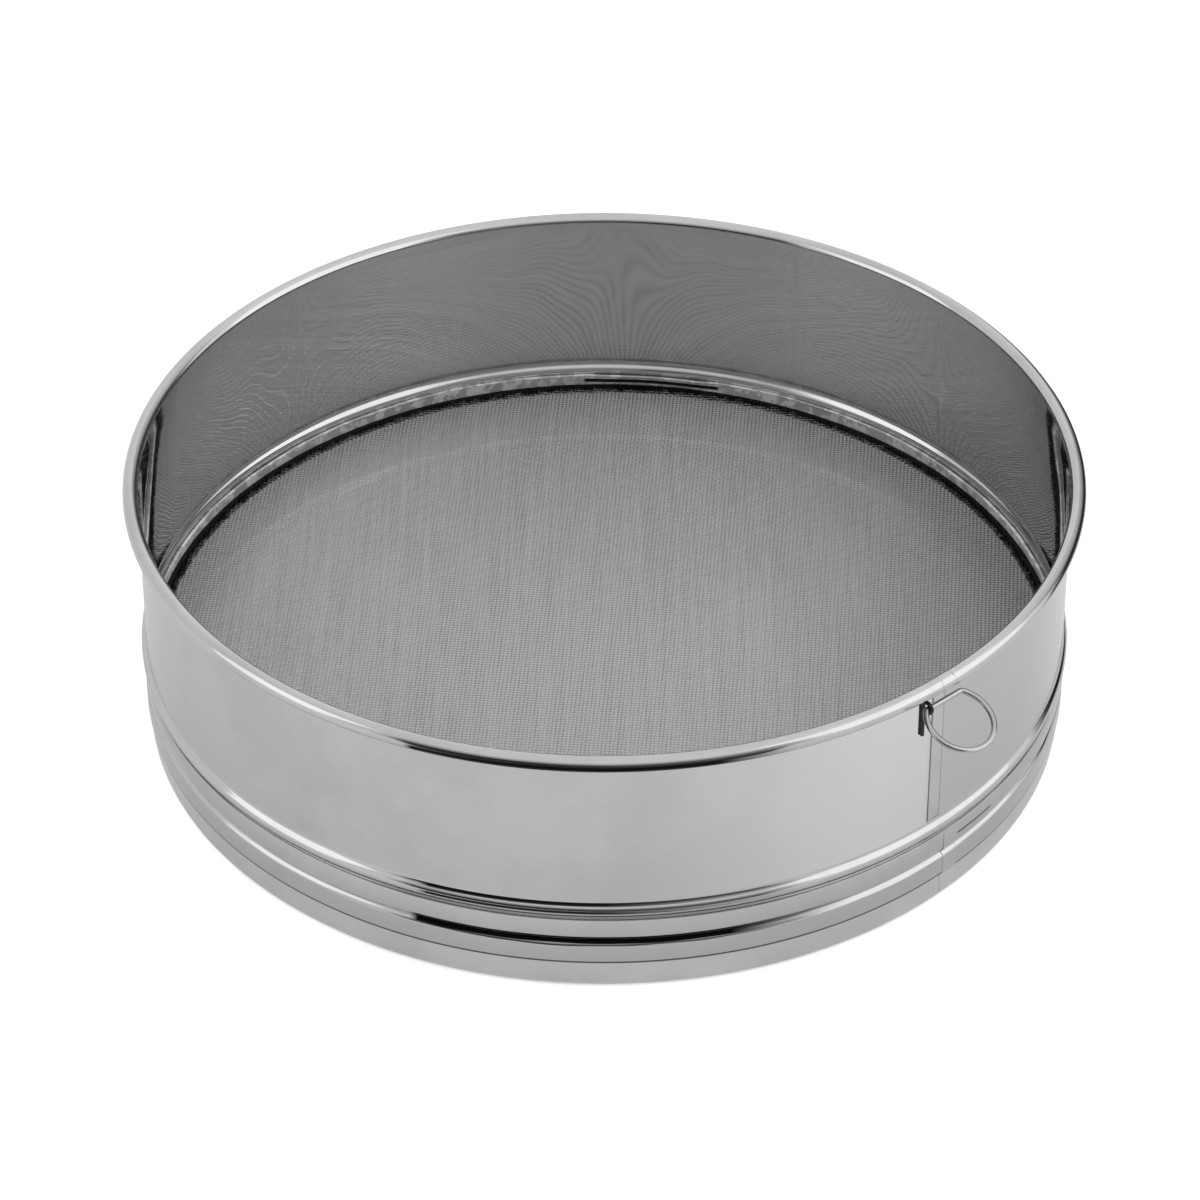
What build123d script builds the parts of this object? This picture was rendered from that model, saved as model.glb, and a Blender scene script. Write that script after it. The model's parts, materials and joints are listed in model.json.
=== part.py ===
from build123d import *
from math import acos, atan2, cos, degrees, floor, radians, sin, sqrt
import os

# Drum sieve. Origin on the drum's axis at the level it stands on, +Z up, front towards -Y.
# Lengths in millimetres, angles in degrees.

# Overall
wall_radius = 148.0
overall_height = 90.7
seam_azimuth = 42.4

# Sheets, and the gap left between nested layers
shell_sheet = 0.5
band_sheet = 0.5
base_sheet = 0.6
retainer_sheet = 0.5
mesh_thickness = 0.35
nest_gap = 0.05

# Rim curled outwards over its wire
rim_wire_diameter = 3.9
curl_end_gap = 0.15

# Base ring, and the mesh whose edge is folded down over its shoulder
mesh_height = 22.3
shoulder_lip = 4.3
foot_radius = 3.0
foot_lip = 1.5

# Clamp band, above and below the mesh, its outside a little wider than the wall
band_rise = 4.9
band_fall = 12.3
band_proud = 0.7

# Groove crimped inwards through band, mesh edge and base ring
crimp_fall = 3.5
crimp_reach = 1.1
crimp_crest_radius = 0.6
crimp_root_radius = 2.0

# Bead rolled outwards in the shell, running down into the neck that the band goes round
bead_rise = 4.7
bead_reach = 1.5
bead_crest_radius = 2.0
bead_root_radius = 1.2

# Retainer hoop above the mesh
retainer_height = 4.3
retainer_shoulder_radius = 0.8
retainer_lip = 0.5

# Sheet ends that overlap at the seam
shell_lap = 4.7
band_lap = 6.3
lap_end_gap = 0.4
lap_sink_share = 0.5

# The woven cloth as an open net, coarser than the real one, with a plain edge
net_pitch = 21.3
wire_share = 0.276
net_angle = -4.7
net_edge = 4.0

# Hanging ring, drawn where it stands out from the wall
ring_wire = 1.9
ring_bow_radius = 10.8
ring_bow_drop = 7.9
ring_corner_radius = 1.2
ring_swing_angle = 66.0
ring_below_rim = 6.2

# Hook that holds the ring
hook_wire = 1.6
hook_eye_gap = 0.15
hook_side_gap = 0.1
hook_weld_gap = 0.02
hook_leg = 11.3
hook_wrap_angle = 240.0

# Round stretches of the sheets' outlines are flats that each turn about this far, and wires have flats too
flat_angle = 45.0
tight_flat_angle = 90.0
wire_flat_count = 8

# Sizes that follow from those above
roll_radius = rim_wire_diameter / 2 + nest_gap + shell_sheet
roll_centre_radius = wall_radius - shell_sheet + roll_radius
roll_centre_height = overall_height - roll_radius
band_radius = wall_radius + band_proud
neck_depth = band_sheet + nest_gap
base_depth = neck_depth + mesh_thickness + nest_gap
retainer_depth = neck_depth + shell_sheet + nest_gap
neck_radius = band_radius - neck_depth
base_radius = band_radius - base_depth
mesh_top = mesh_height + mesh_thickness
band_top = mesh_height + band_rise
band_bottom = mesh_height - band_fall
crimp_height = mesh_height - crimp_fall
bead_height = band_top + bead_rise
net_radius = neck_radius - net_edge


class Skin:
    # One side of a sheet's outline, walked from point to point: radius and height, and a heading

    def __init__(self, radius, height, heading):
        self.points = [(radius, height)]
        self.heading = heading

    def run_to(self, radius, height):
        self.points.append((radius, height))

    def bend(self, bend_radius, turn, step=flat_angle):
        # Positive turns are anticlockwise; a sheet's two skins bend about the same centre
        side = 90 if turn > 0 else -90
        radius, height = self.points[-1]
        spoke = radians(self.heading + side)
        centre = (radius + bend_radius * cos(spoke), height + bend_radius * sin(spoke))
        flats = max(1, round(abs(turn) / step))
        for flat in range(1, flats + 1):
            spoke = radians(self.heading - side + turn * flat / flats)
            self.points.append((centre[0] + bend_radius * cos(spoke), centre[1] + bend_radius * sin(spoke)))
        self.heading += turn


def hoop(skin, sheet, turn=360):
    # Sheet between two skins of one outline, rolled about the drum's axis
    outline = Polyline(*skin(0).points, *reversed(skin(sheet).points), close=True)
    return revolve(Plane.XZ * make_face(outline), Axis.Z, revolution_arc=turn)


def form_turn(reach, crest_radius, root_radius):
    return degrees(acos(1 - reach / (crest_radius + root_radius)))


def form_half_height(reach, crest_radius, root_radius):
    return (crest_radius + root_radius) * sin(radians(form_turn(reach, crest_radius, root_radius)))


def crimp(skin, depth):
    # Inward groove shared by the nested layers, on the skin that lies this deep inside the band's face
    turn = form_turn(crimp_reach, crimp_crest_radius, crimp_root_radius)
    half_height = form_half_height(crimp_reach, crimp_crest_radius, crimp_root_radius)
    skin.run_to(band_radius - depth, crimp_height + half_height)
    skin.heading = -90
    skin.bend(crimp_root_radius - depth, -turn, tight_flat_angle)
    skin.bend(crimp_crest_radius + depth, 2 * turn)
    skin.bend(crimp_root_radius - depth, -turn, tight_flat_angle)


def lap(radius, high, low, sheet, width):
    # End of the sheet where it runs on over its beginning, sunk partly into it so that they are one
    turn = degrees(width / radius)

    def skin(depth):
        strip = Skin(radius + sheet - depth, high, -90)
        strip.run_to(radius + sheet - depth, low)
        return strip

    return Rot(0, 0, seam_azimuth - 90 - turn / 2) * hoop(skin, sheet + sheet * lap_sink_share, turn)


def shell_skin(depth):
    # From the curl's free edge round the wire, down the wall, over the bead and down the neck
    curl = 360 - degrees(acos((roll_radius - shell_sheet - curl_end_gap) / roll_radius))
    inset = shell_sheet - depth
    start = radians(180 - curl)
    skin = Skin(roll_centre_radius + (roll_radius - depth) * cos(start),
                roll_centre_height + (roll_radius - depth) * sin(start), -90 - curl)
    skin.bend(roll_radius - depth, curl)
    turn = form_turn(bead_reach, bead_crest_radius, bead_root_radius)
    half_height = form_half_height(bead_reach, bead_crest_radius, bead_root_radius)
    skin.run_to(wall_radius - inset, bead_height + half_height)
    skin.heading = -90
    skin.bend(bead_root_radius + inset, turn, tight_flat_angle)
    neck_turn = form_turn(bead_reach + wall_radius - neck_radius, bead_crest_radius, bead_root_radius)
    skin.bend(bead_crest_radius - inset, -turn - neck_turn)
    skin.bend(bead_root_radius + inset, neck_turn, tight_flat_angle)
    skin.run_to(neck_radius - inset, mesh_top)
    return skin


def drum_shell():
    bead_top = bead_height + form_half_height(bead_reach, bead_crest_radius, bead_root_radius)
    curl_bottom = roll_centre_height - roll_radius
    seam = lap(wall_radius, curl_bottom - lap_end_gap, bead_top + lap_end_gap, shell_sheet, shell_lap)
    return hoop(shell_skin, shell_sheet) + seam


def rim_wire():
    wire = Pos(roll_centre_radius, roll_centre_height) * RegularPolygon(rim_wire_diameter / 2, wire_flat_count)
    return revolve(Plane.XZ * wire, Axis.Z)


def band_skin(depth, end_gap=0):
    skin = Skin(band_radius - depth, band_top - end_gap, -90)
    crimp(skin, depth)
    skin.run_to(band_radius - depth, band_bottom + end_gap)
    return skin


def clamp_band():
    # The lapped end follows the crimp too
    turn = degrees(band_lap / band_radius)

    def outer_end(depth):
        return band_skin(depth - band_sheet, lap_end_gap)

    seam = Rot(0, 0, seam_azimuth - 90 - turn / 2) * hoop(outer_end, band_sheet + band_sheet * lap_sink_share, turn)
    return hoop(band_skin, band_sheet) + seam


def base_skin(depth):
    # From the lip under the mesh, over the shoulder, down through the crimp and in at the foot
    shoulder_height = mesh_height - nest_gap - depth
    skin = Skin(base_radius - shoulder_lip, shoulder_height, 0)
    skin.run_to(base_radius - depth, shoulder_height)
    crimp(skin, base_depth + depth)
    skin.run_to(base_radius - depth, foot_radius)
    skin.bend(foot_radius - depth, -90)
    skin.run_to(base_radius - foot_radius - foot_lip, depth)
    return skin


def base_ring():
    seam = lap(base_radius, band_bottom - lap_end_gap, foot_radius, base_sheet, band_lap)
    return hoop(base_skin, base_sheet) + seam


def fold_skin(depth):
    # Edge of the cloth, folded down round the base ring's shoulder and caught in the crimp
    skin = Skin(net_radius, mesh_top - depth, 0)
    skin.run_to(neck_radius - depth, mesh_top - depth)
    crimp(skin, neck_depth + depth)
    return skin


def net_gaps():
    # Square gaps on a grid, kept where the whole square lies inside the plain edge
    gap = net_pitch * (1 - wire_share)
    steps = floor(net_radius / net_pitch)
    gaps = []
    for column in range(-steps, steps + 1):
        for row in range(-steps, steps + 1):
            far_x = abs(column) * net_pitch + gap / 2
            far_y = abs(row) * net_pitch + gap / 2
            if sqrt(far_x ** 2 + far_y ** 2) < net_radius:
                gaps.append(Pos(column * net_pitch, row * net_pitch) * Wire.make_rect(gap, gap))
    return gaps


def sieve_mesh():
    net = Rot(0, 0, net_angle) * Face(Wire.make_circle(net_radius), net_gaps())
    sheet = Pos(0, 0, mesh_height) * extrude(net, mesh_thickness)
    return sheet + hoop(fold_skin, mesh_thickness)


def retainer_skin(depth):
    # Upright strip that stands on the cloth, its top edge turned inwards
    top = mesh_top + nest_gap + retainer_height
    shoulder = band_radius - retainer_depth - retainer_shoulder_radius
    skin = Skin(shoulder - retainer_lip, top - depth, 0)
    skin.run_to(shoulder, top - depth)
    skin.bend(retainer_shoulder_radius - depth, -90, tight_flat_angle)
    skin.run_to(band_radius - retainer_depth - depth, mesh_top + nest_gap)
    return skin


def mesh_retainer():
    return hoop(retainer_skin, retainer_sheet)


# Hinge line of the ring, parallel to the wall at the seam, and the straight half of its bar
eye_radius = ring_wire / 2 + hook_eye_gap + hook_wire / 2
leg_radius = wall_radius + hook_weld_gap + hook_wire / 2
hinge_radius = leg_radius + eye_radius
hinge_height = roll_centre_height - ring_below_rim
bar_half = sqrt(ring_bow_radius ** 2 - ring_bow_drop ** 2
                - 2 * ring_corner_radius * (ring_bow_radius - ring_bow_drop))
hook_offset = bar_half - hook_side_gap - hook_wire / 2


def arc_on(path, radius, turn):
    # An arc that carries on from the end of the path; a positive turn is anticlockwise
    path.append(JernArc(path[-1] @ 1, path[-1] % 1, radius, turn))


def round_wire(path, diameter):
    section = Plane(origin=path[0] @ 0, z_dir=path[0] % 0) * RegularPolygon(diameter / 2, wire_flat_count)
    return sweep(section, path=Wire(path))


def hanging_ring():
    # A straight bar and a round bow, joined by two tight corners
    corner_turn = 90 - degrees(atan2(ring_bow_drop - ring_corner_radius, bar_half))
    path = [Line((-bar_half, 0), (bar_half, 0))]
    arc_on(path, ring_corner_radius, -corner_turn)
    arc_on(path, ring_bow_radius, 2 * corner_turn - 360)
    arc_on(path, ring_corner_radius, -corner_turn)
    hinge = Plane(origin=(0, -hinge_radius, hinge_height), x_dir=(1, 0, 0), z_dir=(0, -1, 0))
    return Rot(0, 0, seam_azimuth) * hinge.location * Rot(-ring_swing_angle, 0, 0) * round_wire(path, ring_wire)


def ring_hook():
    # A leg welded up the wall and bent over and round the ring's bar
    path = [Line((leg_radius, hinge_height - hook_leg), (leg_radius, hinge_height))]
    arc_on(path, eye_radius, -hook_wrap_angle)
    upright = Plane(origin=(-hook_offset, 0, 0), x_dir=(0, -1, 0), z_dir=(-1, 0, 0))
    return Rot(0, 0, seam_azimuth) * upright.location * round_wire(path, hook_wire)


os.makedirs("parts", exist_ok=True)
for make in (drum_shell, rim_wire, mesh_retainer, sieve_mesh, base_ring, clamp_band, ring_hook, hanging_ring):
    export_step(make(), "parts/" + make.__name__ + ".step")
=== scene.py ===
import bpy
import json
import math
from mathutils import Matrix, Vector


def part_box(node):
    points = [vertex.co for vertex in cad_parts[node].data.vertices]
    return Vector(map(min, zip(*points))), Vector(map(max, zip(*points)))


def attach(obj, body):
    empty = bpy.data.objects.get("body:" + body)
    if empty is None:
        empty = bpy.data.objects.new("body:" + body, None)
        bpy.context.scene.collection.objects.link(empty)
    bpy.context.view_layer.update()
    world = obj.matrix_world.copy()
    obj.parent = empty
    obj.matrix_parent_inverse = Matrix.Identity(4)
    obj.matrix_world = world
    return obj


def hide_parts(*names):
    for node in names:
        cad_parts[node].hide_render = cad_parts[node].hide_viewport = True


# Drum sieve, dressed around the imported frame. Metres, +Z up, the front faces -Y.

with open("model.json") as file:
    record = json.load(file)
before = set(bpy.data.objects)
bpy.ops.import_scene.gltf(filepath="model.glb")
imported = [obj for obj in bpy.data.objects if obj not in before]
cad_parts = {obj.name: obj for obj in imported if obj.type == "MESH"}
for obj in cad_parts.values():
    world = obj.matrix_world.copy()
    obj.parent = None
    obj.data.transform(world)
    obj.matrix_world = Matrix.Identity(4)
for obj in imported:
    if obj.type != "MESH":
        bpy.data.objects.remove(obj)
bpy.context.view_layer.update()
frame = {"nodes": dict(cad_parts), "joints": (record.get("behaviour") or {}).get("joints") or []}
print("frame loaded:", ", ".join(sorted(frame["nodes"])))

lowest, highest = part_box("drum_shell")
rimRadius = (highest[0] - lowest[0]) / 2
drumHeight = highest[2]

drum = {
    "sheet": 0.0005,
    "layerGap": 0.00005,        # left between nested sheets
    "wallRadius": rimRadius - 0.0045,
    "bandRadius": rimRadius - 0.0038,
    "seamAzimuth": 42.4,        # degrees from the front towards +X
    "lapProud": 0.00018,        # what a lapped sheet end shows above the sheet below
    "wallWobble": 0.00012,      # how far the wall strays from round
    "steps": 480,               # round the drum
    "arcStep": 9,               # degrees of an outline's arc per flat
    "wallParts": 12,            # lengths that the wall is cut into, so that it can be dented
    "soften": 0.00008,
}


# Outlines of rolled sheet, and how they are spun.

def startPath(radius, height, heading):
    return {"points": [(radius, height)], "heading": heading}


def runTo(path, radius, height):
    path["points"].append((radius, height))


def bendRound(path, bendRadius, turn):
    side = 90 if turn > 0 else -90
    radius, height = path["points"][-1]
    spoke = math.radians(path["heading"] + side)
    centre = (radius + bendRadius * math.cos(spoke), height + bendRadius * math.sin(spoke))
    flats = max(2, round(abs(turn) / drum["arcStep"]))
    for flat in range(1, flats + 1):
        spoke = math.radians(path["heading"] - side + turn * flat / flats)
        runTo(path, centre[0] + bendRadius * math.cos(spoke), centre[1] + bendRadius * math.sin(spoke))
    path["heading"] += turn


def runDown(path, length, parts):
    # straight down the wall in a few parts, so that it can be dented
    radius, height = path["points"][-1]
    for part in range(1, parts + 1):
        runTo(path, radius, height - length * part / parts)


def clearSelection():
    if bpy.context.object is not None and bpy.context.object.mode != "OBJECT":
        bpy.ops.object.mode_set(mode="OBJECT")
    bpy.ops.object.select_all(action="DESELECT")


def addModifier(piece, kind, **settings):
    bpy.context.view_layer.objects.active = piece
    modifier = piece.modifiers.new(kind.title(), kind)
    for setting, value in settings.items():
        setattr(modifier, setting, value)
    bpy.ops.object.modifier_apply(modifier=modifier.name)


def drawLine(name, points):
    # one vertex, pulled along from point to point
    clearSelection()
    bpy.ops.mesh.primitive_plane_add(size=0.001, location=points[0])
    piece = bpy.context.object
    piece.name = piece.data.name = name
    bpy.ops.object.transform_apply(location=True, rotation=True, scale=True)
    bpy.ops.object.mode_set(mode="EDIT")
    bpy.ops.mesh.select_all(action="SELECT")
    bpy.ops.mesh.merge(type="CENTER")
    for here, there in zip(points, points[1:]):
        step = Vector(there) - Vector(here)
        bpy.ops.mesh.extrude_region_move(TRANSFORM_OT_translate={"value": step})
    return piece


def spinSheet(name, outline, sheet, turn=360.0, azimuth=0.0, steps=None):
    # the middle line of a sheet, spun clockwise about the drum's axis and given its thickness
    begin = math.radians(azimuth + turn / 2 - 90)
    points = [(radius * math.cos(begin), radius * math.sin(begin), height) for radius, height in outline]
    piece = drawLine(name, points)
    bpy.ops.mesh.select_all(action="SELECT")
    bpy.ops.mesh.spin(steps=steps or drum["steps"], angle=math.radians(turn),
                      center=(0, 0, 0), axis=(0, 0, 1))
    bpy.ops.mesh.select_all(action="SELECT")
    bpy.ops.mesh.remove_doubles(threshold=0.000001)
    bpy.ops.mesh.normals_make_consistent(inside=False)
    bpy.ops.object.mode_set(mode="OBJECT")
    addModifier(piece, "SOLIDIFY", thickness=sheet, offset=0, use_even_offset=True)
    return piece


def softenEdges(piece, width, segments=2):
    addModifier(piece, "BEVEL", width=width, segments=segments, limit_method="ANGLE",
                angle_limit=math.radians(50))
    bpy.ops.object.shade_smooth_by_angle(angle=math.radians(35))


def wobble(angle, seed):
    # smooth unevenness round the drum, between -1 and 1
    waves = ((3, 1.0, 1.0), (7, 2.3, 1.0), (17, 4.1, 0.8), (41, 5.7, 0.5))
    return sum(size * math.sin(count * angle + shift * seed) for count, shift, size in waves) / 3.3


def pushVertex(vertex, outward, upward=0.0):
    angle = math.atan2(vertex.co.y, vertex.co.x)
    vertex.co += Vector((outward * math.cos(angle), outward * math.sin(angle), upward))


def unevenRound(piece, low, high, outward, upward, seed):
    # between two heights the sheet wanders a little out and up, less and less towards both heights
    for vertex in piece.data.vertices:
        share = (vertex.co.z - low) / (high - low)
        if 0 < share < 1:
            angle = math.atan2(vertex.co.y, vertex.co.x)
            bulge = math.sin(math.pi * share) * wobble(angle, seed)
            twist = math.sin(2 * math.pi * share) * wobble(angle, seed + 2)
            pushVertex(vertex, outward * (bulge + twist), upward * bulge)


def joinPieces(main, *others):
    clearSelection()
    for piece in (main, *others):
        piece.select_set(True)
    bpy.context.view_layer.objects.active = main
    bpy.ops.object.join()
    return main


# Drum shell: curled rim, wall, bead and neck.

crimp = {"height": 0.0188, "reach": 0.0011, "crest": 0.0006, "root": 0.0020}
bead = {"height": 0.0308, "reach": 0.0015, "crest": 0.0024, "root": 0.0020, "neckRoot": 0.0022}
rim = {"roll": 0.0025, "endGap": 0.00015}
shellLap = {"width": 0.0052, "aside": 0.3, "endGap": 0.0004,    # aside in degrees, past the seam's middle
            "rimFrom": 205, "rimTurn": 245}                     # where the lap runs round the curl
lowerLap = {"width": 0.0063, "aside": 3.4, "endGap": 0.0004}
neckDepth = drum["sheet"] + drum["layerGap"]
neckRadius = drum["bandRadius"] - neckDepth
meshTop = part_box("sieve_mesh")[1][2]


def formTurn(reach, crest, root):
    return math.degrees(math.acos(1 - reach / (crest + root)))


def formHalfHeight(form):
    turn = formTurn(form["reach"], form["crest"], form["root"])
    return (form["crest"] + form["root"]) * math.sin(math.radians(turn))


def crimpDown(path, depth):
    # groove pressed inwards, on the line that lies this deep inside the band's face
    turn = formTurn(crimp["reach"], crimp["crest"], crimp["root"])
    runTo(path, drum["bandRadius"] - depth, crimp["height"] + formHalfHeight(crimp))
    path["heading"] = -90
    bendRound(path, crimp["root"] - depth, -turn)
    bendRound(path, crimp["crest"] + depth, 2 * turn)
    bendRound(path, crimp["root"] - depth, -turn)


def makeDrumShell():
    half = drum["sheet"] / 2
    roll = rim["roll"]
    rollRadius = drum["wallRadius"] - drum["sheet"] + roll
    curl = 360 - math.degrees(math.acos((roll - drum["sheet"] - rim["endGap"]) / roll))
    begin = math.radians(180 - curl)
    path = startPath(rollRadius + (roll - half) * math.cos(begin),
                     drumHeight - roll + (roll - half) * math.sin(begin), -90 - curl)
    bendRound(path, roll - half, curl)
    beadTop = bead["height"] + formHalfHeight(bead)
    runDown(path, path["points"][-1][1] - beadTop, drum["wallParts"])
    path["heading"] = -90
    turn = formTurn(bead["reach"], bead["crest"], bead["root"])
    neckTurn = formTurn(bead["reach"] + drum["wallRadius"] - neckRadius, bead["crest"], bead["neckRoot"])
    bendRound(path, bead["root"] + half, turn)
    bendRound(path, bead["crest"] - half, -turn - neckTurn)
    bendRound(path, bead["neckRoot"] + half, neckTurn)
    runTo(path, neckRadius - half, meshTop + 0.0001)
    shell = spinSheet("drumShell", path["points"], drum["sheet"])
    softenEdges(shell, drum["soften"])
    unevenRound(shell, beadTop, drumHeight - 2 * roll, drum["wallWobble"], 0, 0.7)
    return shell


def makeSeam(name, path, sheet, lap):
    # the lapped end of a sheet, standing out from the one below
    turn = math.degrees(lap["width"] / drum["wallRadius"])
    seam = spinSheet(name, path["points"], sheet, turn, drum["seamAzimuth"] + lap["aside"], 8)
    softenEdges(seam, 0.00012)
    return seam


def makeShellSeam():
    top = drumHeight - 2 * rim["roll"] - shellLap["endGap"]
    path = startPath(drum["wallRadius"] + drum["lapProud"] - drum["sheet"] / 2, top, -90)
    runDown(path, top - bead["height"] - formHalfHeight(bead) - shellLap["endGap"], 8)
    return makeSeam("shellSeam", path, drum["sheet"], shellLap)


def makeRimLap():
    # the sheet's other end, which shows where it goes on round the curl
    sheet = drum["sheet"]
    reach = rim["roll"] + drum["lapProud"] / 2 - sheet / 2
    centre = drum["wallRadius"] - sheet + rim["roll"]
    begin = math.radians(shellLap["rimFrom"])
    path = startPath(centre + reach * math.cos(begin), drumHeight - rim["roll"] + reach * math.sin(begin),
                     shellLap["rimFrom"] - 90)
    bendRound(path, reach, -shellLap["rimTurn"])
    return makeSeam("rimLap", path, sheet, shellLap)


shell = makeDrumShell()
shellSeam = makeShellSeam()
rimLap = makeRimLap()
print("drum shell spun")


# Clamp band, base ring, retainer hoop and the cloth's folded edge.

band = {"top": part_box("clamp_band")[1][2], "bottom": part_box("clamp_band")[0][2], "sheet": 0.0005,
        "tuck": 0.0011, "tuckTurn": 65, "crimpWobble": 0.00022, "crimpReach": 0.0024}
base = {"sheet": 0.0006, "foot": 0.0030, "footLip": 0.0015, "shoulder": 0.0008, "lip": 0.0035}
retainer = {"sheet": 0.0005, "shoulder": 0.0008, "lip": 0.0005, "wobble": 0.00028,
            "gapFrom": 75, "gapTo": 92, "gapFade": 1.5,    # where the hoop stands off from the neck, in degrees
            "gap": 0.0007}
cloth = {"pitch": 0.00127, "wire": 0.00042, "wave": 0.00010, "turn": -4.7, "thickness": 0.00035,
         "foldFrom": 0.0026, "foldBend": 0.0012, "rimInset": 0.0015}
baseRadius = neckRadius - cloth["thickness"] - drum["layerGap"]


def bandPath(depth, endGap=0.0):
    path = startPath(drum["bandRadius"] - depth, band["top"] - endGap, -90)
    crimpDown(path, depth)
    path["heading"] = -90
    tuckHeight = band["tuck"] * math.sin(math.radians(band["tuckTurn"]))
    runTo(path, drum["bandRadius"] - depth, band["bottom"] + endGap + tuckHeight)
    bendRound(path, band["tuck"] - depth, -band["tuckTurn"])    # the lower edge, pressed to the base ring
    return path


def makeClampBand():
    piece = spinSheet("clampBand", bandPath(band["sheet"] / 2)["points"], band["sheet"])
    softenEdges(piece, 0.0001)
    low, high = crimp["height"] - band["crimpReach"], crimp["height"] + band["crimpReach"]
    unevenRound(piece, low, high, band["crimpWobble"], band["crimpWobble"], 1.9)
    return piece


def makeBaseRing():
    half = base["sheet"] / 2
    radius = baseRadius
    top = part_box("base_ring")[1][2]
    path = startPath(radius - base["shoulder"] - base["lip"], top - half, 0)
    runTo(path, radius - base["shoulder"], top - half)
    bendRound(path, base["shoulder"] - half, -90)
    crimpDown(path, drum["bandRadius"] - baseRadius + half)
    runTo(path, radius - half, base["foot"])
    bendRound(path, base["foot"] - half, -90)
    runTo(path, radius - base["foot"] - base["footLip"], half)
    piece = spinSheet("baseRing", path["points"], base["sheet"])
    softenEdges(piece, 0.0001)
    return piece


def makeRetainer():
    half = retainer["sheet"] / 2
    radius = neckRadius - drum["sheet"] - drum["layerGap"]
    foot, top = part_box("mesh_retainer")[0][2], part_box("mesh_retainer")[1][2]
    path = startPath(radius - retainer["shoulder"] - retainer["lip"], top - half, 0)
    runTo(path, radius - retainer["shoulder"], top - half)
    bendRound(path, retainer["shoulder"] - half, -90)
    runTo(path, radius - half, foot)
    piece = spinSheet("retainerHoop", path["points"], retainer["sheet"])
    softenEdges(piece, 0.0001)
    unevenRound(piece, foot, 2 * top - foot, retainer["wobble"], retainer["wobble"] / 2, 3.1)
    for vertex in piece.data.vertices:
        angle = math.degrees(math.atan2(vertex.co.y, vertex.co.x))
        inside = min(angle - retainer["gapFrom"], retainer["gapTo"] - angle) / retainer["gapFade"]
        lift = max(0.0, (vertex.co.z - foot) / (top - foot))
        pushVertex(vertex, -retainer["gap"] * lift * max(0.0, min(1.0, inside)))
    return piece


def makeClothFold():
    half = cloth["thickness"] / 2
    path = startPath(neckRadius - cloth["foldFrom"], meshTop - half, 0)
    runTo(path, neckRadius - cloth["foldBend"], meshTop - half)
    bendRound(path, cloth["foldBend"] - half, -90)
    crimpDown(path, neckDepth + half)
    piece = spinSheet("clothFold", path["points"], cloth["thickness"], steps=240)
    softenEdges(piece, 0.00005)
    return piece


clampBand = makeClampBand()
bandEnd = bandPath(band["sheet"] / 2 - drum["lapProud"], lowerLap["endGap"])
bandSeam = makeSeam("bandSeam", bandEnd, band["sheet"], lowerLap)
baseRing = makeBaseRing()
baseEnd = startPath(baseRadius + drum["lapProud"] - base["sheet"] / 2, band["bottom"] - lowerLap["endGap"], -90)
runDown(baseEnd, band["bottom"] - lowerLap["endGap"] - base["foot"], 2)
baseSeam = makeSeam("baseSeam", baseEnd, base["sheet"], lowerLap)
retainerHoop = makeRetainer()
clothFold = makeClothFold()
print("band, base ring, retainer and fold spun")


# Woven cloth.

def weaveWires(name, shift):
    # two neighbouring wires that pass over and under in turn, then copied across the drum
    count = 2 * math.ceil(drum["wallRadius"] / cloth["pitch"])
    pair = []
    for row in range(2):
        clearSelection()
        side = 1 if row == 0 else -1
        place = (-count / 2 * cloth["pitch"], (row + shift - count / 2) * cloth["pitch"], side * cloth["wave"])
        bpy.ops.mesh.primitive_circle_add(vertices=4, radius=cloth["wire"] / 2, location=place,
                                          rotation=(0, math.radians(90), 0))
        wire = bpy.context.object
        bpy.ops.object.transform_apply(location=True, rotation=True, scale=True)
        bpy.ops.object.mode_set(mode="EDIT")
        bpy.ops.mesh.select_all(action="SELECT")
        for crossing in range(count):
            side = -side
            step = (cloth["pitch"], 0, 2 * side * cloth["wave"])
            bpy.ops.mesh.extrude_region_move(TRANSFORM_OT_translate={"value": step})
        bpy.ops.object.mode_set(mode="OBJECT")
        pair.append(wire)
    wires = joinPieces(*pair)
    wires.name = wires.data.name = name
    addModifier(wires, "ARRAY", count=count // 2, use_relative_offset=False, use_constant_offset=True,
                constant_offset_displace=(0, 2 * cloth["pitch"], 0))
    return wires


def trimRound(wires, reach):
    # the wires end under the hoop's edge
    for vertex in wires.data.vertices:
        crossX = round(vertex.co.x / cloth["pitch"]) * cloth["pitch"]
        crossY = round(vertex.co.y / cloth["pitch"]) * cloth["pitch"]
        vertex.select = math.hypot(crossX, crossY) > reach
    bpy.ops.object.mode_set(mode="EDIT")
    bpy.ops.mesh.delete(type="VERT")
    bpy.ops.mesh.select_all(action="SELECT")
    bpy.ops.mesh.fill_holes(sides=4)
    bpy.ops.mesh.normals_make_consistent(inside=False)
    bpy.ops.object.mode_set(mode="OBJECT")


def layCloth(wires, turn):
    wires.rotation_euler[2] = math.radians(turn)
    wires.location[2] = meshTop - cloth["thickness"] / 2
    clearSelection()
    wires.select_set(True)
    bpy.context.view_layer.objects.active = wires
    bpy.ops.object.transform_apply(location=True, rotation=True, scale=True)
    bpy.ops.object.shade_smooth()


def splitInHalf(wires, name):
    # whole wires to either side, so that no piece grows too heavy
    bpy.ops.object.mode_set(mode="EDIT")
    bpy.ops.mesh.select_mode(type="VERT")
    bpy.ops.mesh.select_all(action="DESELECT")
    bpy.ops.object.mode_set(mode="OBJECT")
    for vertex in wires.data.vertices:
        vertex.select = round(vertex.co.y / cloth["pitch"]) < 0
    bpy.ops.object.mode_set(mode="EDIT")
    bpy.ops.mesh.separate(type="SELECTED")
    bpy.ops.object.mode_set(mode="OBJECT")
    other = [piece for piece in bpy.context.selected_objects if piece != wires][0]
    other.name = other.data.name = name
    return other


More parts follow.
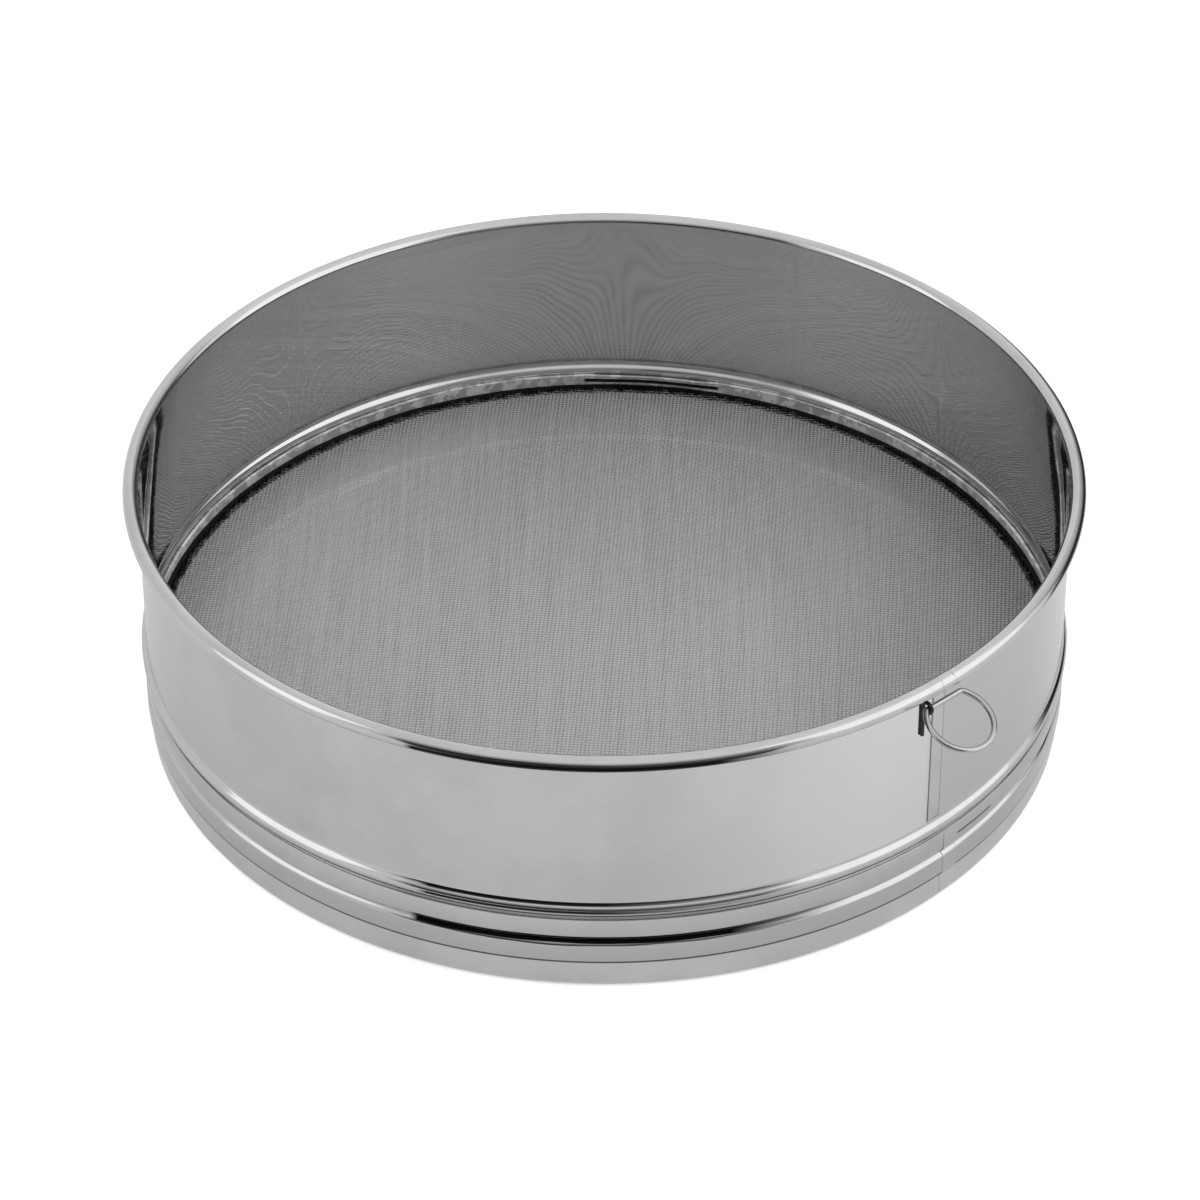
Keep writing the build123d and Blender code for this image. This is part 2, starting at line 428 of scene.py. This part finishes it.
clothReach = drum["wallRadius"] - cloth["rimInset"]
clothWires = []
for name, shift, turn in (("warp", 0, 90), ("weft", 1, 0)):
    wires = weaveWires(name + "Right", shift)
    trimRound(wires, clothReach)
    other = splitInHalf(wires, name + "Left")
    for piece in (wires, other):
        layCloth(piece, turn + cloth["turn"])
        clothWires.append(piece)
print("cloth woven:", sum(len(piece.data.polygons) for piece in clothWires), "faces")


# Hanging ring and its hook.

ring = {"wire": 0.0019, "bow": 0.0108, "drop": 0.0079, "corner": 0.0012, "swing": 66.0}
hook = {"wire": 0.0013, "eyeGap": 0.00015, "sideGap": 0.0001,
        "weldGap": -0.0003,    # sets the eye 0.62 mm nearer to the wall than the hinge, so the bar cuts into it
        "leg": 0.0113, "wrap": 240}
seam = math.radians(drum["seamAzimuth"])
outward = Vector((math.sin(seam), -math.cos(seam), 0))
along = Vector((math.cos(seam), math.sin(seam), 0))
upward = Vector((0, 0, 1))
hinge = Vector(frame["joints"][0]["pos_m"])


def drawRound(points, corner, radius, turn, heading, step=8):
    # an arc in a plane, carried on from the last point; returns the new heading
    side = 90 if turn > 0 else -90
    x, y = points[-1]
    spoke = math.radians(heading + side)
    centre = (x + radius * math.cos(spoke), y + radius * math.sin(spoke))
    flats = max(4, round(abs(turn) / step))
    for flat in range(1, flats + 1):
        spoke = math.radians(heading - side + turn * flat / flats)
        points.append((centre[0] + radius * math.cos(spoke), centre[1] + radius * math.sin(spoke)))
    return heading + turn


def bendWire(name, points, thickness, closed):
    piece = drawLine(name, points)
    if closed:
        bpy.ops.mesh.select_all(action="SELECT")
        bpy.ops.mesh.remove_doubles(threshold=0.00001)
    bpy.ops.object.mode_set(mode="OBJECT")
    bpy.ops.object.convert(target="CURVE")
    piece = bpy.context.object
    piece.data.bevel_depth = thickness / 2
    piece.data.bevel_resolution = 6
    piece.data.use_fill_caps = True
    bpy.ops.object.convert(target="MESH")
    piece = bpy.context.object
    piece.name = piece.data.name = name
    bpy.ops.object.shade_smooth_by_angle(angle=math.radians(40))
    return piece


def makeRing():
    corner = ring["corner"]
    barHalf = math.sqrt(ring["bow"] ** 2 - ring["drop"] ** 2 - 2 * corner * (ring["bow"] - ring["drop"]))
    turn = 90 - math.degrees(math.atan2(ring["drop"] - corner, barHalf))
    flat = [(-barHalf, 0), (barHalf, 0)]
    heading = drawRound(flat, corner, corner, -turn, 0, 12)
    heading = drawRound(flat, corner, ring["bow"], 2 * turn - 360, heading, 4)
    drawRound(flat, corner, corner, -turn, heading, 12)
    swing = math.radians(ring["swing"])
    hang = outward * math.sin(swing) - upward * math.cos(swing)
    points = [hinge + along * x - hang * y for x, y in flat]
    return bendWire("ringWire", points, ring["wire"], True), barHalf


def makeHook(barHalf):
    eye = ring["wire"] / 2 + hook["eyeGap"] + hook["wire"] / 2
    legRadius = drum["wallRadius"] + hook["weldGap"] + hook["wire"] / 2
    offset = barHalf - hook["sideGap"] - hook["wire"] / 2
    flat = [(legRadius, hinge.z - hook["leg"]), (legRadius, hinge.z)]
    drawRound(flat, eye, eye, -hook["wrap"], 90, 10)
    points = [outward * radius - along * offset + upward * height for radius, height in flat]
    return bendWire("hookWire", points, hook["wire"], False)


ringWire, barHalf = makeRing()
hookWire = makeHook(barHalf)
print("ring and hook bent")


# Materials.

def newMaterial(name):
    material = bpy.data.materials.new(name)
    material.use_nodes = True
    nodes = material.node_tree.nodes
    return material, nodes, material.node_tree.links, nodes["Principled BSDF"]


def addNode(nodes, kind, **inputs):
    node = nodes.new(kind)
    for name, value in inputs.items():
        node.inputs[name.replace("_", " ")].default_value = value
    return node


def addMath(nodes, links, operation, first, second):
    node = nodes.new("ShaderNodeMath")
    node.operation = operation
    for socket, value in zip(node.inputs, (first, second)):
        if hasattr(value, "node"):
            links.new(value, socket)
        else:
            socket.default_value = value
    return node.outputs[0]


def addRange(nodes, links, value, low, high, fromLow=0.0, fromHigh=1.0):
    node = addNode(nodes, "ShaderNodeMapRange", From_Min=fromLow, From_Max=fromHigh, To_Min=low, To_Max=high)
    links.new(value, node.inputs["Value"])
    return node.outputs[0]


def addWindow(nodes, links, value, low, high, fadeIn, fadeOut):
    # one between low and high, fading to nothing outside
    rise = addRange(nodes, links, value, 0, 1, low - fadeIn, low)
    return addMath(nodes, links, "MULTIPLY", rise, addRange(nodes, links, value, 1, 0, high, high + fadeOut))


def addAzimuth(nodes, links, split):
    # radians from the front towards +X
    forward = addMath(nodes, links, "MULTIPLY", split.outputs["Y"], -1)
    return addMath(nodes, links, "ARCTAN2", split.outputs["X"], forward)


def addRadius(nodes, links, split):
    ways = [split.outputs[axis] for axis in "XY"]
    across, along = [addMath(nodes, links, "MULTIPLY", way, way) for way in ways]
    return addMath(nodes, links, "SQRT", addMath(nodes, links, "ADD", across, along), 0)


def addWrap(nodes, links, across, upright):
    # coordinates unrolled round the drum: scaled along the wall, then up it
    place = nodes.new("ShaderNodeTexCoord")
    split = nodes.new("ShaderNodeSeparateXYZ")
    links.new(place.outputs["Object"], split.inputs[0])
    turn = addMath(nodes, links, "ARCTAN2", split.outputs["Y"], split.outputs["X"])
    cosine = addMath(nodes, links, "COSINE", turn, 0)
    sine = addMath(nodes, links, "SINE", turn, 0)
    join = nodes.new("ShaderNodeCombineXYZ")
    links.new(addMath(nodes, links, "MULTIPLY", cosine, across), join.inputs[0])
    links.new(addMath(nodes, links, "MULTIPLY", sine, across), join.inputs[1])
    links.new(addMath(nodes, links, "MULTIPLY", split.outputs["Z"], upright), join.inputs[2])
    return join.outputs[0]


def addNoise(nodes, links, place, scale, detail=3.0, roughness=0.5):
    node = addNode(nodes, "ShaderNodeTexNoise", Scale=scale, Detail=detail, Roughness=roughness)
    links.new(place, node.inputs["Vector"])
    return node.outputs["Fac"]


def addMix(nodes, links, factor, plain, changed):
    mix = nodes.new("ShaderNodeMix")
    mix.data_type = "RGBA"
    links.new(factor, mix.inputs["Factor"])
    for socket, colour in ((mix.inputs["A"], plain), (mix.inputs["B"], changed)):
        if hasattr(colour, "node"):
            links.new(colour, socket)
        else:
            socket.default_value = (*colour, 1)
    return mix.outputs["Result"]


# The near-black last in this list is painted shade, for the base ring's shoulder under the cloth.
sheetLook = {"colour": (0.57, 0.567, 0.56), "stain": (0.5, 0.497, 0.49), "gloss": (0.06, 0.13), "streaks": 0.02,
             "blackShade": (0.015, 0.015, 0.015)}


def makeSheetSteel(name, look):
    # rolled sheet with cloudy smudges and faint lines along the way it was rolled
    material, nodes, links, shader = newMaterial(name)
    place = nodes.new("ShaderNodeTexCoord").outputs["Object"]
    cloud = addNoise(nodes, links, place, 28, 4, 0.6)
    smudge = addNoise(nodes, links, place, 20, 5, 0.62)
    streak = addNoise(nodes, links, addWrap(nodes, links, 0.6, 60), 30, 3, 0.6)
    smudged = addRange(nodes, links, smudge, 0, 0.75, 0.44, 0.58)
    colour = addMix(nodes, links, smudged, look["colour"], look["stain"])
    shade = addRange(nodes, links, streak, 0, 0.35, 0.35, 0.75)
    colour = addMix(nodes, links, shade, colour, look["stain"])
    low, high = look["gloss"]
    gloss = addMath(nodes, links, "ADD", addRange(nodes, links, cloud, low, high, 0.3, 0.7),
                    addRange(nodes, links, streak, 0, look["streaks"]))
    split = nodes.new("ShaderNodeSeparateXYZ")
    links.new(place, split.inputs[0])
    if "paintedGlints" in look:    # painted highlights: bright spots among duller ones along an edge
        spots = addNoise(nodes, links, place, 240, 3, 0.6)
        bright = addRange(nodes, links, spots, 0, 1, 0.46, 0.56)
        colour = addMix(nodes, links, bright, colour, look["paintedGlints"])
    for heights, azimuths, tone in look.get("tones", {}).values():
        upright = addWindow(nodes, links, split.outputs["Z"], *heights)
        azimuths = [math.radians(part) for part in azimuths]
        around = addWindow(nodes, links, addAzimuth(nodes, links, split), *azimuths)
        toned = addMath(nodes, links, "MULTIPLY", upright, around)
        colour = addMix(nodes, links, toned, colour, (tone, tone, tone))
    if "inside" in look:    # the inside is painted its own colour and shines more or less than the outside; the base ring's pale inside is painted light
        limit, factor, insideTone = look["inside"]
        inside = addRange(nodes, links, addRadius(nodes, links, split), 1, 0, limit - 0.0002, limit + 0.0001)
        gloss = addMath(nodes, links, "MULTIPLY", gloss, addRange(nodes, links, inside, 1, factor))
        colour = addMix(nodes, links, inside, colour, insideTone)
    if "darkAbove" in look:    # painted shade: the shoulder under the cloth is painted near-black
        height = look["darkAbove"]
        blackShade = addRange(nodes, links, split.outputs["Z"], 0, 1, height, height + 0.0004)
        colour = addMix(nodes, links, blackShade, colour, look["blackShade"])
        gloss = addMath(nodes, links, "MAXIMUM", gloss, addRange(nodes, links, blackShade, 0, 0.6))
    links.new(colour, shader.inputs["Base Color"])
    links.new(gloss, shader.inputs["Roughness"])
    shader.inputs["Metallic"].default_value = look.get("metal", 1)
    return material


# The cloth's shadow tone and near-black are painted shade, near and along the hoop and on the right.
clothLook = {"colour": (0.62, 0.617, 0.61), "dull": (0.5, 0.497, 0.49), "shadow": (0.22, 0.22, 0.217),
             "blackShade": (0.02, 0.02, 0.02), "edge": 0.1425, "edgeFade": 0.0022, "edgeShade": 0.022,
             "sideShade": (0.05, 0.14)}


def makeClothSteel():
    # each wire has its own tone; the cloth is painted black along the hoop and darker near it and on
    # the right, all painted shade, after the photograph
    material, nodes, links, shader = newMaterial("clothSteel")
    place = nodes.new("ShaderNodeTexCoord").outputs["Object"]
    turn = (0, 0, math.radians(-cloth["turn"]))
    wires = addNode(nodes, "ShaderNodeMapping", Rotation=turn, Scale=(640, 14, 1))
    links.new(place, wires.inputs["Vector"])
    shade = addNoise(nodes, links, wires.outputs[0], 1, 2, 0.6)
    dulled = addRange(nodes, links, shade, 0, 1, 0.35, 0.65)
    colour = addMix(nodes, links, dulled, clothLook["colour"], clothLook["dull"])
    split = nodes.new("ShaderNodeSeparateXYZ")
    links.new(place, split.inputs[0])
    # painted shade, darker towards the right
    side = addRange(nodes, links, split.outputs["X"], 0, 0.7, *clothLook["sideShade"])
    colour = addMix(nodes, links, side, colour, clothLook["shadow"])
    radius = addRadius(nodes, links, split)
    # painted shade, darker near the hoop, then near-black along it with a jagged edge
    ragged = addRange(nodes, links, addNoise(nodes, links, place, 260, 3, 0.7), -0.0016, 0.0016, 0.3, 0.7)
    edge = clothLook["edge"]
    near = addRange(nodes, links, radius, 0, 0.6, edge - clothLook["edgeShade"], edge)
    colour = addMix(nodes, links, near, colour, clothLook["shadow"])
    jaggedRadius = addMath(nodes, links, "ADD", radius, ragged)
    blackShade = addRange(nodes, links, jaggedRadius, 0, 1, edge, edge + clothLook["edgeFade"])
    colour = addMix(nodes, links, blackShade, colour, clothLook["blackShade"])
    links.new(colour, shader.inputs["Base Color"])
    links.new(addRange(nodes, links, shade, 0.25, 0.45), shader.inputs["Roughness"])
    shader.inputs["Metallic"].default_value = 1
    return material


# The tones below are painted and stay where they are from every side. They stand in for the dark and the
# light that the photograph's sheet mirrors. Each has its heights with the fades below and above, its
# degrees round the drum from the front towards +X with the fades before and after, and its tone.
wallHeights = (0.0345, drumHeight - 0.0052, 0.0005, 0.0002)
drumLook = {**sheetLook, "inside": (drum["wallRadius"] - 0.0002, 0.4, (0.56, 0.557, 0.55)), "tones": {
    "underRoll": ((drumHeight - rim["roll"] - 0.0016, drumHeight - rim["roll"] + 0.0001, 0.0001, 0.0003),
                  (-22, 13, 1, 9), 0.004),
    "overBead": ((0.0327, 0.0333, 0.0002, 0.0002), (-21, 0, 1.5, 24), 0.02),
    "onBead": ((0.0304, 0.0312, 0.0002, 0.0002), (-21, 0, 1.5, 24), 0.02),
    "leftOfSeam": (wallHeights, (34, 41, 30, 1.5), 0.69),
    "rightOfSeam": (wallHeights, (43.6, 60, 1.2, 15), 0.53),
    "neckNotch": ((0.0284, 0.0290, 0.0002, 0.0002), (41, 43.2, 0.4, 0.4), 0.03)}}
seamMiddle = drum["seamAzimuth"]
seamEdge = math.degrees(0.0025 / drum["wallRadius"])
seamHeights = (0, 1, 0.001, 0.001)
seamLook = {**sheetLook, "tones": {
    "leftEdge": (seamHeights, (seamMiddle + 0.2 - seamEdge, seamMiddle + 0.38 - seamEdge, 0.02, 0.05), 0.2),
    "rightEdge": (seamHeights, (seamMiddle + 0.22 + seamEdge, seamMiddle + 0.4 + seamEdge, 0.05, 0.02), 0.25)}}
bandLook = {**sheetLook, "colour": (0.54, 0.537, 0.53), "gloss": (0.08, 0.15), "tones": {
    "crimp": ((0.0178, 0.0208, 0.0001, 0.0001), (-22.6, 15, 1.0, 16), 0.004),
    "lowerEdge": ((0, band["bottom"] + 0.0011, 0.0001, 0.0001), (-180, 180, 1, 1), 0.1),
    "dash": ((0.0227, 0.0232, 0.0001, 0.0001), (46.5, 53.5, 0.5, 0.5), 0.06)}}
# painted shade: the base ring's shoulder under the cloth is painted near-black (darkAbove)
baseLook = {**sheetLook, "colour": (0.68, 0.678, 0.67), "stain": (0.6, 0.598, 0.59), "gloss": (0.08, 0.15),
            # painted light: the base ring's inside is painted pale and rough
            "darkAbove": 0.0208, "inside": (baseRadius - 0.0004, 4, (0.9, 0.897, 0.89))}
lapLook = {**sheetLook, "gloss": (0.08, 0.15)}
hoopFoot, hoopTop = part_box("mesh_retainer")[0][2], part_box("mesh_retainer")[1][2]
slotHeights = (hoopFoot + 0.25 * (hoopTop - hoopFoot), hoopFoot + 0.55 * (hoopTop - hoopFoot), 0.0001, 0.0001)
# the hoop's bright spots are painted highlights
hoopLook = {**sheetLook, "colour": (0.62, 0.617, 0.61), "gloss": (0.4, 0.5), "metal": 0.2,
            "paintedGlints": (0.95, 0.95, 0.94), "tones": {    # one slot in two halves, since the degrees start over
                "slotToBack": (slotHeights, (164.5, 181, 0.4, 1), 0.01),
                "slotFromBack": (slotHeights, (-181, -177.5, 1, 0.4), 0.01)}}
ringLook = {**sheetLook, "colour": (0.44, 0.435, 0.43), "gloss": (0.16, 0.26)}
# the hook is painted near-black, as painted shade
hookLook = {**sheetLook, "colour": (0.05, 0.05, 0.05), "stain": (0.03, 0.03, 0.03), "gloss": (0.3, 0.5)}

drumSteel = makeSheetSteel("drumSteel", drumLook)
seamSteel = makeSheetSteel("seamSteel", seamLook)
bandSteel = makeSheetSteel("bandSteel", bandLook)
baseSteel = makeSheetSteel("baseSteel", baseLook)
lapSteel = makeSheetSteel("lapSteel", lapLook)
hoopSteel = makeSheetSteel("hoopSteel", hoopLook)
ringSteel = makeSheetSteel("ringSteel", ringLook)
hookSteel = makeSheetSteel("hookSteel", hookLook)
clothSteel = makeClothSteel()

finishes = (
    (shell, drumSteel, "drum_shell", "polished_sheet"),
    (shellSeam, seamSteel, "drum_shell", "polished_sheet"),
    (rimLap, drumSteel, "drum_shell", "polished_sheet"),
    (clampBand, bandSteel, "clamp_band", "polished_sheet"),
    (bandSeam, lapSteel, "clamp_band", "polished_sheet"),
    (baseRing, baseSteel, "base_ring", "polished_sheet"),
    (baseSeam, baseSteel, "base_ring", "polished_sheet"),
    (retainerHoop, hoopSteel, "mesh_retainer", "polished_sheet"),
    (clothFold, clothSteel, "sieve_mesh", "woven_wire"),
    (hookWire, hookSteel, "ring_hook", "plain_wire"),
    (ringWire, ringSteel, "hanging_ring", "bright_wire"),
) + tuple((wires, clothSteel, "sieve_mesh", "woven_wire") for wires in clothWires)
for piece, material, node, slotName in finishes:
    piece.data.materials.clear()
    piece.data.materials.append(material)
    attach(piece, "ring" if node == "hanging_ring" else "drum")
    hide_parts(node)
# the rim wire inside the curl is given the hook's painted near-black
for slot in frame["nodes"]["rim_wire"].material_slots:
    slot.material = hookSteel
print("finishes given")


# Floor, light and camera.

# What the camera sees of the floor and the room is plain and pale. All other rays, and so the sheet's
# reflections, see two dark stretches of floor and a room that is dark in front and at the right back.
studio = {
    "camera": (-0.0014, -1.3016, drumHeight - rim["roll"] + 0.9072), "lens": 150, "pitch": 36.35,
    "floor": 6.0, "paper": (0.92, 0.92, 0.92), "darkPaper": (0.01, 0.01, 0.01),
    "paperGlow": 0.5, "glowFrom": (0.143, 0.148),    # keeps the paper pale to the camera, outside the drum
    "frontEdges": ((0, -1, 0.268), (1, -1.005, 0.089), (-1, -0.829, 0.072)),
    "sideEdges": ((1, 0, 0.30), (-0.443, 1, -0.133), (2.05, -1, 0.145)),
    "darkRoom": 0.02, "brightRoom": 1.03, "overhead": (0.14, 0.75),
    "frontDark": (-0.86, -0.74, -0.3, 0.6, 0.85),    # radians: dark begins, is full, eases, eases, ends
    "backDark": (2.1, 2.8, 0.15, 0.15),
    "leftBox": {"place": (-1.9, -0.5, 0.9), "size": (1.2, 1.6), "power": 4.4},
    "rightBox": {"place": (1.5, -0.4, 1.0), "size": (1.8, 1.8), "power": 4.5},
}


def addWedge(nodes, links, split, edges):
    # one on the floor where across * x + along * y stays above the limit of every edge
    wedge = 1
    for across, along, limit in edges:
        reach = addMath(nodes, links, "ADD", addMath(nodes, links, "MULTIPLY", split.outputs["X"], across),
                        addMath(nodes, links, "MULTIPLY", split.outputs["Y"], along))
        above = addRange(nodes, links, reach, 0, 1, limit, limit + 0.02)
        wedge = addMath(nodes, links, "MULTIPLY", wedge, above)
    return wedge


def makeFloor():
    clearSelection()
    bpy.ops.mesh.primitive_plane_add(size=studio["floor"], location=(0, 0, 0))
    floor = bpy.context.object
    floor.name = floor.data.name = "studioFloor"
    material, nodes, links, shader = newMaterial("floorPaper")
    shader.inputs["Roughness"].default_value = 0.9
    rays = nodes.new("ShaderNodeLightPath")
    shader.inputs["Emission Color"].default_value = (1, 1, 1, 1)
    split = nodes.new("ShaderNodeSeparateXYZ")
    links.new(nodes.new("ShaderNodeTexCoord").outputs["Object"], split.inputs[0])
    # dark stretches before the drum and to its right, which the sheet mirrors and the camera doesn't see
    front = addWedge(nodes, links, split, studio["frontEdges"])
    side = addWedge(nodes, links, split, studio["sideEdges"])
    dark = addMath(nodes, links, "MAXIMUM", front, side)
    hidden = addMath(nodes, links, "SUBTRACT", dark, rays.outputs["Is Camera Ray"])
    hidden = addMath(nodes, links, "MAXIMUM", hidden, 0)
    links.new(addMix(nodes, links, hidden, studio["paper"], studio["darkPaper"]), shader.inputs["Base Color"])
    radius = addRadius(nodes, links, split)
    outside = addRange(nodes, links, radius, 0, studio["paperGlow"], *studio["glowFrom"])
    links.new(addMath(nodes, links, "MULTIPLY", rays.outputs["Is Camera Ray"], outside),
              shader.inputs["Emission Strength"])
    floor.data.materials.append(material)


def addSoftbox(name):
    look = studio[name]
    data = bpy.data.lights.new(name, "AREA")
    data.shape = "RECTANGLE"
    data.size, data.size_y = look["size"]
    data.energy = look["power"]
    light = bpy.data.objects.new(name, data)
    light.location = look["place"]
    light.rotation_euler = (-Vector(look["place"])).to_track_quat("-Z", "Y").to_euler()
    bpy.context.collection.objects.link(light)


def makeRoom():
    world = bpy.data.worlds.new("studioRoom")
    world.use_nodes = True
    nodes, links = world.node_tree.nodes, world.node_tree.links
    room = nodes["Background"]
    room.inputs["Color"].default_value = (0.9, 0.9, 0.9, 1)
    rays = nodes.new("ShaderNodeLightPath")
    sky = nodes.new("ShaderNodeTexCoord")
    split = nodes.new("ShaderNodeSeparateXYZ")
    links.new(sky.outputs["Generated"], split.inputs[0])
    overhead = addRange(nodes, links, split.outputs["Z"], 0, 1, *studio["overhead"])
    turned = addAzimuth(nodes, links, split)
    begin, full, ease, eased, end = studio["frontDark"]
    rise = addRange(nodes, links, turned, 0, 1, begin, full)
    fall = addMath(nodes, links, "MULTIPLY", addRange(nodes, links, turned, 1, 0.8, ease, eased),
                   addRange(nodes, links, turned, 1, 0, eased, end))
    front = addMath(nodes, links, "MULTIPLY", rise, fall)
    back = addWindow(nodes, links, turned, *studio["backDark"])
    bright = addMath(nodes, links, "SUBTRACT", 1, addMath(nodes, links, "MAXIMUM", front, back))
    tent = addMath(nodes, links, "MAXIMUM", overhead, bright)
    sideways = addRange(nodes, links, split.outputs["X"], 0.9, 1.2, -0.7, 0.7)    # more light from the right
    glow = addRange(nodes, links, addMath(nodes, links, "MULTIPLY", tent, sideways),
                    studio["darkRoom"], 1.2 * studio["brightRoom"], 0, 1.2)
    strength = addMath(nodes, links, "MAXIMUM", glow, rays.outputs["Is Camera Ray"])    # pale behind the drum
    links.new(strength, room.inputs["Strength"])
    bpy.context.scene.world = world


makeFloor()
addSoftbox("leftBox")
addSoftbox("rightBox")
makeRoom()
bpy.context.scene.view_settings.view_transform = "Standard"

cameraData = bpy.data.cameras.new("photoCamera")
cameraData.lens = studio["lens"]
cameraData.sensor_width = 36
cameraData.clip_start = 0.05
camera = bpy.data.objects.new("photoCamera", cameraData)
camera.location = studio["camera"]
camera.rotation_euler = (math.radians(90 - studio["pitch"]), 0, 0)
bpy.context.collection.objects.link(camera)
bpy.context.scene.camera = camera
print("floor, light and camera set")
